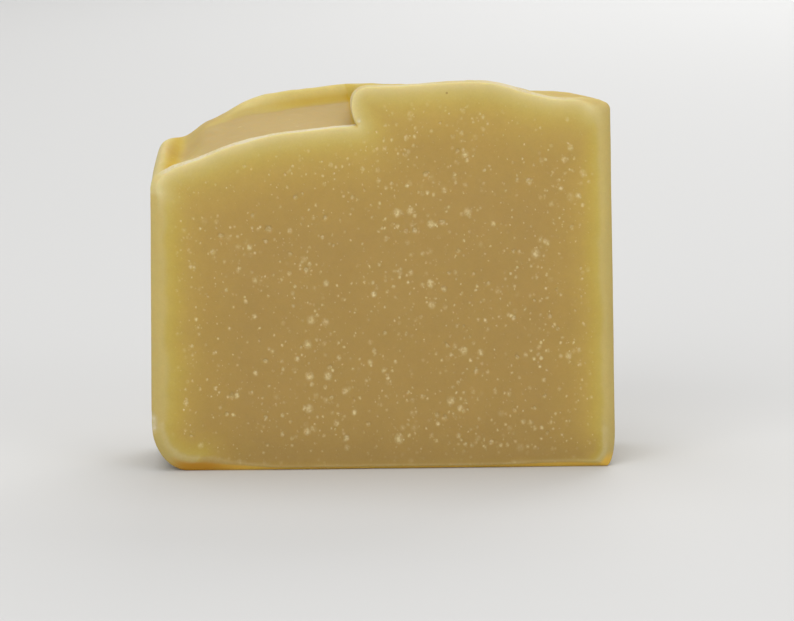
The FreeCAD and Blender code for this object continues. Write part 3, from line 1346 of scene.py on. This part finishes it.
@dataclass(frozen=True)
class AirBubbles:
    """The small air bubbles all through the soap, where a surface cuts them.

    Each cell of a Voronoi pattern holds one bubble, its radius and its pallor drawn from
    the cell's own chances. A slow noise makes them larger in some places, and a fine one
    bends their outlines. A few have a bright core, a painted glint added to the pallor.
    Scales are lumps to the metre, and a four-number field is a range and what it becomes.
    """

    bend_scale: float = 2300.0
    bend: float = 0.36
    radius_skew: float = 1.6
    crowd_scale: float = 120.0
    crowding: tuple[float, ...] = (0.3, 0.7, 0.75, 1.25)
    rim: tuple[float, ...] = (0.2, 1.15, 1.0, 0.0)
    pallor_skew: float = 1.5
    pallor: tuple[float, ...] = (0.0, 1.0, 0.35, 0.8)
    # a painted glint: a bright core in a few bubbles
    core: tuple[float, ...] = (0.1, 0.6, 1.0, 0.0)
    glint_chance: tuple[float, ...] = (0.72, 0.8, 0.0, 0.5)

    def make(self) -> None:
        """Makes the group: position, cell size and radii in, mask and pallor out."""
        group = Group("air_bubbles", {"Cell": 1.0, "Smallest": 0.1, "Largest": 0.3},
                      ("Mask", "Pallor"))
        graph, given = group.graph, group.given
        place = given["Position"]
        wobble = graph.add("TexNoise", {"Vector": place, "Scale": self.bend_scale})
        moved = graph.add("VectorMath", {0: wobble.outputs["Color"], 1: [self.bend * MM] * 3,
                                         2: place}, operation="MULTIPLY_ADD")
        size = graph.maths("DIVIDE", 1.0 / MM, given["Cell"])
        cells = graph.add("TexVoronoi", {"Vector": graph.scaled(moved.outputs[0], size),
                                         "Scale": 1.0}, voronoi_dimensions="3D", feature="F1")
        chance = graph.add("SeparateColor", {0: cells.outputs["Color"]}).outputs
        skewed = graph.maths("POWER", chance[0], self.radius_skew)
        room = graph.maths("SUBTRACT", given["Largest"], given["Smallest"])
        radius = graph.plus(given["Smallest"], graph.times(skewed, room))
        crowd = graph.noise(place, self.crowd_scale, 1.0)
        radius = graph.times(radius, graph.span(crowd, *self.crowding))
        across = graph.times(cells.outputs["Distance"], given["Cell"])
        ratio = graph.maths("DIVIDE", across, radius)
        mask = graph.span(ratio, *self.rim)
        pale = graph.maths("POWER", chance[1], self.pallor_skew)
        pallor = graph.times(mask, graph.span(pale, *self.pallor))
        # painted glint, added to the pallor
        core = graph.times(graph.span(ratio, *self.core),
                           graph.span(chance[2], *self.glint_chance))
        group.finish(mask, graph.plus(pallor, core, clamp=True))


@dataclass(frozen=True)
class Mottle:
    """Cloudy light and dark: a soft noise less its middle, times the amount and the gain,
    carried to a factor round 1."""

    detail: float = 3.0
    roughness: float = 0.55
    gain: float = 4.0

    def make(self) -> None:
        """Makes the group: position, grain in millimetres and amount in, factor out."""
        group = Group("mottle", {"Grain": 8.0, "Amount": 0.05}, ("Factor",))
        graph, given = group.graph, group.given
        size = graph.maths("DIVIDE", 1.0 / MM, given["Grain"])
        cloud = graph.add("TexNoise", {"Vector": graph.scaled(given["Position"], size),
                                       "Scale": 1.0, "Detail": self.detail,
                                       "Roughness": self.roughness})
        centred = graph.maths("SUBTRACT", cloud.outputs["Fac"], 0.5)
        swing = graph.times(graph.times(centred, given["Amount"]), self.gain)
        group.finish(graph.plus(1.0, swing))


@dataclass(frozen=True)
class DryEdgeAndHighlight:
    """The white line of a cut edge, partly dried soap and partly a painted highlight: a fine
    and a slow noise, each with its scale and strength, break up the mask."""

    crumbs: Pair = (2200.0, 0.7)
    breaks: Pair = (260.0, 0.9)
    kept: tuple[float, ...] = (0.45, 1.0, 0.35, 1.15)

    def make(self) -> None:
        """Makes the group: position and mask in, mask out."""
        group = Group("dry_edge_and_highlight", {"Mask": 0.0}, ("Mask",))
        graph, place = group.graph, group.given["Position"]
        worn = graph.plus(graph.times(graph.noise(place, self.crumbs[0]), self.crumbs[1]),
                          graph.times(graph.noise(place, self.breaks[0], 1.0), self.breaks[1]))
        kept = graph.span(worn, *self.kept)
        group.finish(graph.times(group.given["Mask"], kept, clamp=True))


@dataclass(frozen=True)
class SurfaceLook:
    """What differs between the soap's two surfaces.

    Clouds are the grain in millimetres and the amount of each mottle, and bubbles the cell,
    the smallest and the largest radius of each size. After the specular level comes how
    strongly the painted crease shade shows. The grain is a noise's scale and what it adds to
    the relief. Rough is the least roughness and what the grain adds to it. Relief is its
    strength and its depth in millimetres.
    """

    name: str
    clouds: tuple[Pair, ...]
    bubbles: tuple[Triple, ...]
    specular: float
    crease_shade: float
    grain: Pair
    rough: Pair
    relief: Pair


@dataclass
class Coat:
    """A material in the making: its look, its graph, the position and its colour so far."""

    look: SurfaceLook
    material: bpy.types.Material
    graph: Graph
    place: Socket
    colour: Socket

    def lay(self, share: Socket, colour: Triple) -> None:
        """Lays a colour over the coat, as much of it as the share says."""
        self.colour = self.graph.tint(share, self.colour, linear(colour))

    def height(self) -> Socket:
        """The height above the slice's foot."""
        return self.graph.add("SeparateXYZ", {0: self.place}).outputs[2]

    def cloud(self, grain: float, amount: float) -> Socket:
        """Cloudy light and dark of a grain in millimetres, as a factor round 1."""
        inputs = {"Position": self.place, "Grain": grain, "Amount": amount}
        return self.graph.group("mottle", inputs)["Factor"]

    def dried(self, mask: Socket) -> Socket:
        """The mask of dried soap and of the edges' painted highlight, with a crumbly outline."""
        return self.graph.group("dry_edge_and_highlight", {"Position": self.place, "Mask": mask})["Mask"]

    def spot(self, middle: Triple, core: float, end: float) -> Socket:
        """The mask of a soft round spot.

        Args:
            middle: Its middle in millimetres.
            core: How far from there it is full.
            end: How far from there it ends.

        Returns:
            The socket with the mask.
        """
        far = self.graph.add("VectorMath", {0: self.place, 1: [v * MM for v in middle]},
                             operation="DISTANCE").outputs["Value"]
        return self.graph.span(far, core * MM, end * MM, 1.0, 0.0)

    def bubbled(self, place: Socket) -> tuple[Socket, Socket]:
        """The small bubbles of every size: where two overlap, the stronger one shows.

        Args:
            place: The socket with the position.

        Returns:
            The sockets with how pale they are and with the pits that they leave.
        """
        graph = self.graph
        sets = [graph.group("air_bubbles", {"Position": place, "Cell": cell,
                                            "Smallest": smallest, "Largest": largest})
                for cell, smallest, largest in self.look.bubbles]
        pallor, pits = sets[0]["Pallor"], sets[0]["Mask"]
        for more in sets[1:]:
            pallor = graph.maths("MAXIMUM", pallor, more["Pallor"])
            pits = graph.maths("MAXIMUM", pits, more["Mask"])
        return pallor, pits

    def close(self, lumps: Socket, pits: Socket, rough: Socket) -> bpy.types.Material:
        """Adds the grain, and joins colour, roughness and relief to the shader.

        Args:
            lumps: The relief's height before the grain.
            pits: What is taken off it.
            rough: The roughness over that of the grain.

        Returns:
            The material.
        """
        graph, look = self.graph, self.look
        grain = graph.noise(self.place, look.grain[0], 3.0)
        relief = graph.plus(lumps, graph.times(grain, look.grain[1]))
        relief = graph.maths("SUBTRACT", relief, pits)
        strength, depth = look.relief
        bumps = graph.add("Bump", {"Height": relief, "Strength": strength,
                                   "Distance": depth * MM})
        base = graph.plus(graph.times(grain, look.rough[1]), look.rough[0])
        shader = graph.tree.nodes["Principled BSDF"]
        for key, socket in (("Base Color", self.colour), ("Roughness", graph.plus(base, rough)),
                            ("Normal", bumps.outputs[0])):
            graph.tree.links.new(socket, shader.inputs[key])
        return self.material


@dataclass(frozen=True)
class SoapFinishes:
    """The soap's colours as a screen shows them, and how its two surfaces take light.

    The paling has a colour for each distance from the edge, partly the soap's paler rind
    and partly painted light that its thin edges let through. The glow is painted light let
    through the top, the creases' orange and the foot's orange are painted shade, and the
    pale edge colour is dried soap with a painted highlight. Places are millimetres, with
    the spot's full core and its end after them.
    """

    # the paling: partly the soap's paler rind, partly painted light that the thin edges let
    # through
    paling: tuple[tuple[float, Triple], ...] = (
        (0.0, (185, 165, 100)),
        (0.9, (182, 160, 80)),
        (2.2, (179, 154, 74)),
        (4.2, (174, 146, 76)),
        (7.5, (167, 138, 74)),
        (14.0, (163, 134, 75)),
    )
    bubble: Triple = (222, 207, 160)
    ash: Triple = (175, 151, 101)
    # painted shade: the saturated orange of the creases, the fold's foot and the ridge's band
    crease_shade: Triple = (183, 150, 47)
    # painted light and shade: the orange of the bevels' lowest part, facing down, darker still at
    # the left foot
    foot: Triple = (208, 169, 72)
    deep_foot_shade: Triple = (172, 125, 36)
    # dried soap on the edges and crumbs, with the edges' painted highlight
    dry_and_highlight: Triple = (204, 195, 166)
    fleck: Triple = (120, 84, 40)
    # painted light let through the top
    glow: Triple = (208, 195, 140)
    # the spot at the left foot where the painted orange of the foot is darkest
    deep_foot_shade_spot: tuple[Triple, float, float] = ((-33.0, -12.0, 0.3), 2.0, 10.0)
    crumb_spot: tuple[Triple, float, float] = ((-3.55, -12.5, 60.5), 0.05, 0.6)
    fleck_spot: tuple[Triple, float, float] = ((11.5, -12.5, 65.1), 0.1, 0.28)
    # how much of the painted light shows
    glow_share: float = 0.8
    fleck_share: float = 0.55
    # painted shade by height: darker at the foot, a little lighter at the top
    foot_height: float = 12.0
    top_height: float = 66.0
    painted_height_shades: Triple = (0.86, 0.97, 1.04)

    subsurface: float = 0.35
    radius: Triple = (1.0, 0.55, 0.2)
    scatter: float = 2.2
    ior: float = 1.46

    cut_look: SurfaceLook = SurfaceLook(
        name="soap_cut_face",
        clouds=((9.0, 0.030), (1.3, 0.022), (0.3, 0.03)),
        bubbles=((0.96, 0.12, 0.25), (1.2, 0.18, 0.39), (1.85, 0.27, 0.54),
                 (3.0, 0.42, 0.80)),
        specular=0.22, crease_shade=0.8, grain=(1600.0, 0.3), rough=(0.58, 0.18),
        relief=(0.35, 0.09))
    bubble_height: float = 0.87
    bubbles_from_edge: tuple[float, ...] = (0.6, 4.0, 0.0, 1.0)
    bubbles_from_foot: tuple[float, ...] = (1.5 * MM, 5.0 * MM, 0.25, 1.0)
    crumb_scale: float = 2600.0
    crumbly: tuple[float, ...] = (0.32, 0.68, 0.45, 1.25)
    small_pallor: float = 0.6
    bowl_pallor: float = 0.66
    drag_stretch: Triple = (900.0, 1.0, 60.0)
    drag_relief: float = 0.35
    pit_relief: float = 1.6
    pale_rough: float = 0.15

    skin_look: SurfaceLook = SurfaceLook(
        name="soap_skin",
        clouds=((12.0, 0.05), (2.2, 0.035), (0.5, 0.03)),
        bubbles=((3.4, 0.12, 0.55),),
        specular=0.12, crease_shade=1.0, grain=(2100.0, 0.22), rough=(0.72, 0.16),
        relief=(0.4, 0.12))
    dust: Pair = (1.1, 0.16)
    skin_pallor: float = 0.4
    swell_scale: float = 330.0
    ash_rough: float = 0.12

    def start(self, look: SurfaceLook) -> Coat:
        """A new coat with the soap's body: waxy, with light going a few millimetres in.

        Its colour goes by how far in from the edges it lies, partly the soap's paler rind and
        partly painted light at the thin edges, with the painted glow laid over it, and is
        mottled, with painted shade that makes it darker towards the foot and a little lighter
        towards the top.

        Args:
            look: What is the surface's own.

        Returns:
            The coat.
        """
        material = bpy.data.materials.new(look.name)
        material.use_nodes = True
        graph = Graph(material.node_tree)
        shader = graph.tree.nodes["Principled BSDF"]
        for key, value in (("Subsurface Weight", self.subsurface),
                           ("Subsurface Radius", self.radius),
                           ("Subsurface Scale", self.scatter * MM),
                           ("IOR", self.ior),
                           ("Specular IOR Level", look.specular)):
            shader.inputs[key].default_value = value
        place = graph.add("TexCoord").outputs["Object"]
        deepest = self.paling[-1][0]
        share = graph.maths("DIVIDE", graph.mask("inset"), deepest, clamp=True)
        ramp = graph.add("ValToRGB", {0: share})
        stops = ramp.color_ramp.elements
        while len(stops) < len(self.paling):
            stops.new(0.5)
        for stop, (distance, colour) in zip(stops, self.paling):
            stop.position = distance / deepest
            stop.color = linear(colour)
        coat = Coat(look, material, graph, place, ramp.outputs["Color"])
        coat.lay(graph.times(graph.mask("glow"), self.glow_share), self.glow)
        for grain, amount in look.clouds:
            coat.colour = graph.scaled(coat.colour, coat.cloud(grain, amount))
        # painted shade: darker towards the foot and a little lighter towards the top
        foot, middle, top = self.painted_height_shades
        bend = self.foot_height * MM
        shade = graph.plus(
            graph.span(coat.height(), 0.0, bend, foot, middle),
            graph.span(coat.height(), bend, self.top_height * MM, 0.0, top - middle))
        coat.colour = graph.scaled(coat.colour, shade)
        return coat

    def rims(self, coat: Coat) -> None:
        """Lays the painted crease shade, the foot's darker painted orange and the white edge
        line, dried soap with a painted highlight, over a coat.

        Args:
            coat: The coat to lay them on.
        """
        graph = coat.graph
        # painted crease shade
        coat.lay(graph.times(graph.mask("crease_shade"), coat.look.crease_shade), self.crease_shade)
        # painted light and shade: the foot's orange, darkest at the spot at the left foot
        deep_foot_shade = coat.spot(*self.deep_foot_shade_spot)
        foot = graph.tint(deep_foot_shade, linear(self.foot), linear(self.deep_foot_shade))
        coat.colour = graph.tint(graph.mask("foot"), coat.colour, foot)
        # the white edge line: dried soap with a painted highlight
        coat.lay(coat.dried(graph.mask("edge")), self.dry_and_highlight)

    def cut(self) -> bpy.types.Material:
        """The cut faces and bevels: bubbles of four small sizes, a few with a painted glint, and
        the mesh's own bowls, a crumb and a fleck, and the wire's faint marks.

        Returns:
            The material.
        """
        coat = self.start(self.cut_look)
        graph, place = coat.graph, coat.place
        tall = graph.stretched(place, (1.0, 1.0, self.bubble_height))
        pallor, pits = coat.bubbled(tall)
        clear = graph.times(graph.span(graph.mask("inset"), *self.bubbles_from_edge),
                            graph.span(coat.height(), *self.bubbles_from_foot))
        crumbs = graph.span(graph.noise(place, self.crumb_scale, 1.0), *self.crumbly)
        small = graph.times(graph.times(pallor, clear), self.small_pallor)
        bowls = graph.times(graph.mask("bubble"), self.bowl_pallor)
        pallor = graph.times(graph.maths("MAXIMUM", small, bowls), crumbs, clamp=True)
        coat.lay(pallor, self.bubble)
        self.rims(coat)
        coat.lay(coat.dried(coat.spot(*self.crumb_spot)), self.dry_and_highlight)
        coat.lay(graph.times(coat.spot(*self.fleck_spot), self.fleck_share), self.fleck)
        drag = graph.noise(graph.stretched(place, self.drag_stretch), 1.0)
        deep = graph.times(graph.times(pits, clear), self.pit_relief)
        return coat.close(graph.times(drag, self.drag_relief), deep,
                          graph.times(pallor, self.pale_rough))

    def skin(self) -> bpy.types.Material:
        """The moulded sides and the sculpted top: ash in the hollow, painted crease shade in the
        creases and a few bubbles.

        Returns:
            The material.
        """
        coat = self.start(self.skin_look)
        graph = coat.graph
        ash = graph.times(graph.mask("ash"), coat.cloud(*self.dust), clamp=True)
        coat.lay(ash, self.ash)
        self.rims(coat)
        pallor, pits = coat.bubbled(coat.place)
        coat.lay(graph.times(pallor, self.skin_pallor), self.bubble)
        swell = graph.noise(coat.place, self.swell_scale)
        return coat.close(swell, pits, graph.times(ash, self.ash_rough))


@dataclass(frozen=True)
class SoftBox:
    """A square lamp: its name, its place, what it points at, its width and its power."""

    name: str
    place: Triple
    aim: Triple
    width: float
    power: float


@dataclass(frozen=True)
class Studio:
    """A plain pale floor, soft lamps and the camera at the photograph's angle."""

    target: Triple = (0.0026, 0.0, 0.02585)
    distance: float = 0.75
    elevation: float = 8.5
    roll: float = -0.65
    focal_pixels: float = 4294.0
    picture_width: float = 794.0
    sensor_width: float = 36.0
    sight: Pair = (0.01, 50.0)
    floor_half: float = 6.0
    floor_colour: Triple = (203, 203, 203)
    floor_roughness: float = 0.85
    floor_specular: float = 0.2
    world_colour: Triple = (206, 205, 202)
    world_strength: float = 0.7
    lamps: tuple[SoftBox, ...] = (
        SoftBox("lamp_key", (-0.5, -1.05, 0.6), (0.0, 0.0, 0.03), 0.9, 8.4),
        SoftBox("lamp_fill", (0.8, -0.95, 0.4), (0.0, 0.0, 0.03), 0.7, 3.6),
        SoftBox("lamp_top", (0.0, 0.12, 1.1), (0.0, 0.0, 0.0), 1.0, 6.2),
        SoftBox("lamp_back", (0.35, 1.1, 0.6), (0.0, 0.0, 0.03), 0.9, 6.4),
    )

    def add(self, name: str, data: bpy.types.ID) -> bpy.types.Object:
        """A new object in the scene.

        Args:
            name: Its name.
            data: Its mesh, lamp or camera.

        Returns:
            The object.
        """
        made = bpy.data.objects.new(name, data)
        bpy.context.scene.collection.objects.link(made)
        return made

    def floor(self) -> None:
        """A large plain floor at the foot of the slice."""
        half = self.floor_half
        corners = [(-half, -half, 0.0), (half, -half, 0.0), (half, half, 0.0), (-half, half, 0.0)]
        mesh = bpy.data.meshes.new("floor")
        mesh.from_pydata(corners, [], [(0, 1, 2, 3)])
        material = bpy.data.materials.new("floor_matt")
        material.use_nodes = True
        shader = material.node_tree.nodes["Principled BSDF"]
        shader.inputs["Base Color"].default_value = linear(self.floor_colour)
        shader.inputs["Roughness"].default_value = self.floor_roughness
        shader.inputs["Specular IOR Level"].default_value = self.floor_specular
        mesh.materials.append(material)
        self.add("floor", mesh)

    def light(self) -> None:
        """The soft lamps and an even world."""
        for box in self.lamps:
            data = bpy.data.lights.new(box.name, "AREA")
            data.shape = "SQUARE"
            data.size = box.width
            data.energy = box.power
            lamp = self.add(box.name, data)
            lamp.location = box.place
            way = Vector(box.aim) - Vector(box.place)
            lamp.rotation_euler = way.to_track_quat("-Z", "Y").to_euler()
        world = bpy.data.worlds.new("studio")
        world.use_nodes = True
        back = world.node_tree.nodes["Background"]
        back.inputs["Color"].default_value = linear(self.world_colour)
        back.inputs["Strength"].default_value = self.world_strength
        bpy.context.scene.world = world

    def camera(self) -> None:
        """The camera, turned a little about its own axis as the photograph's was."""
        data = bpy.data.cameras.new("camera")
        data.sensor_width = self.sensor_width
        data.sensor_fit = "HORIZONTAL"
        data.lens = self.focal_pixels / self.picture_width * self.sensor_width
        data.clip_start, data.clip_end = self.sight
        camera = self.add("camera", data)
        tilt = math.radians(self.elevation)
        back = Vector((0.0, -math.cos(tilt), math.sin(tilt)))
        aim = (-back).to_track_quat("-Z", "Y").to_matrix().to_4x4()
        turn = Matrix.Rotation(math.radians(self.roll), 4, "Z")
        place = Matrix.Translation(Vector(self.target) + self.distance * back)
        camera.matrix_world = place @ aim @ turn
        bpy.context.scene.camera = camera


FRONT_BUBBLES = (
    (25.4, 49.8, 0.62), (-19.2, 42.1, 0.60), (10.5, 42.9, 0.55), (10.7, 31.4, 0.54),
    (-6.4, 5.6, 0.53), (5.8, 41.6, 0.52), (-26.0, 13.2, 0.50), (-27.4, 41.0, 0.48),
    (-12.9, 34.9, 0.48), (7.8, 51.2, 0.48), (18.6, 4.6, 0.46), (32.7, 41.8, 0.46),
    (16.1, 17.0, 0.45), (-14.6, 47.5, 0.43), (-21.9, 44.4, 0.42), (9.3, 9.4, 0.42),
    (13.2, 37.9, 0.42), (-2.6, 8.0, 0.41), (-9.5, 43.9, 0.40), (-15.6, 37.7, 0.39),
    (11.1, 21.6, 0.38), (-26.9, 10.0, 0.38), (27.9, 12.5, 0.37),
)


def make_bar(sizes: SliceSizes) -> SoapBar:
    """The slice, with its two cut faces laid out.

    Args:
        sizes: The slice's lengths.

    Returns:
        The slice, not built yet.
    """
    front = CutFace(0.5, BubbleField(seed=5, number=60, placed=FRONT_BUBBLES),
                    sway=Waves(0.045, 15.0, 31), marks=Waves(0.012, 2.2, 32))
    back = CutFace(0.75, BubbleField(seed=6, number=70, radii=(0.26, 0.6)),
                   sway=Waves(0.045, 15.0, 41), marks=Waves(0.012, 2.2, 42))
    return SoapBar(SliceShape(sizes), front, back)


def main() -> None:
    """Builds the slice and the studio in order."""
    logging.basicConfig(level=logging.INFO, format="%(message)s")
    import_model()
    low, high = (np.array(corner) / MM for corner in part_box("soap_bar"))
    sizes = SliceSizes(width=float(high[0] - low[0]), thickness=float(high[1] - low[1]))
    for effect in (AirBubbles(), Mottle(), DryEdgeAndHighlight()):
        effect.make()
    bar = make_bar(sizes)
    piece = bar.build()
    bar.dress(piece, SoapFinishes())
    log.info("piece %s: %d points, %d faces", piece.name, len(piece.data.vertices),
             len(piece.data.polygons))
    studio = Studio()
    studio.floor()
    studio.light()
    studio.camera()
    log.info("studio: floor, %d lamps and the camera", len(studio.lamps))
    bpy.context.scene.view_settings.view_transform = "Standard"


if __name__ == "__main__":
    main()
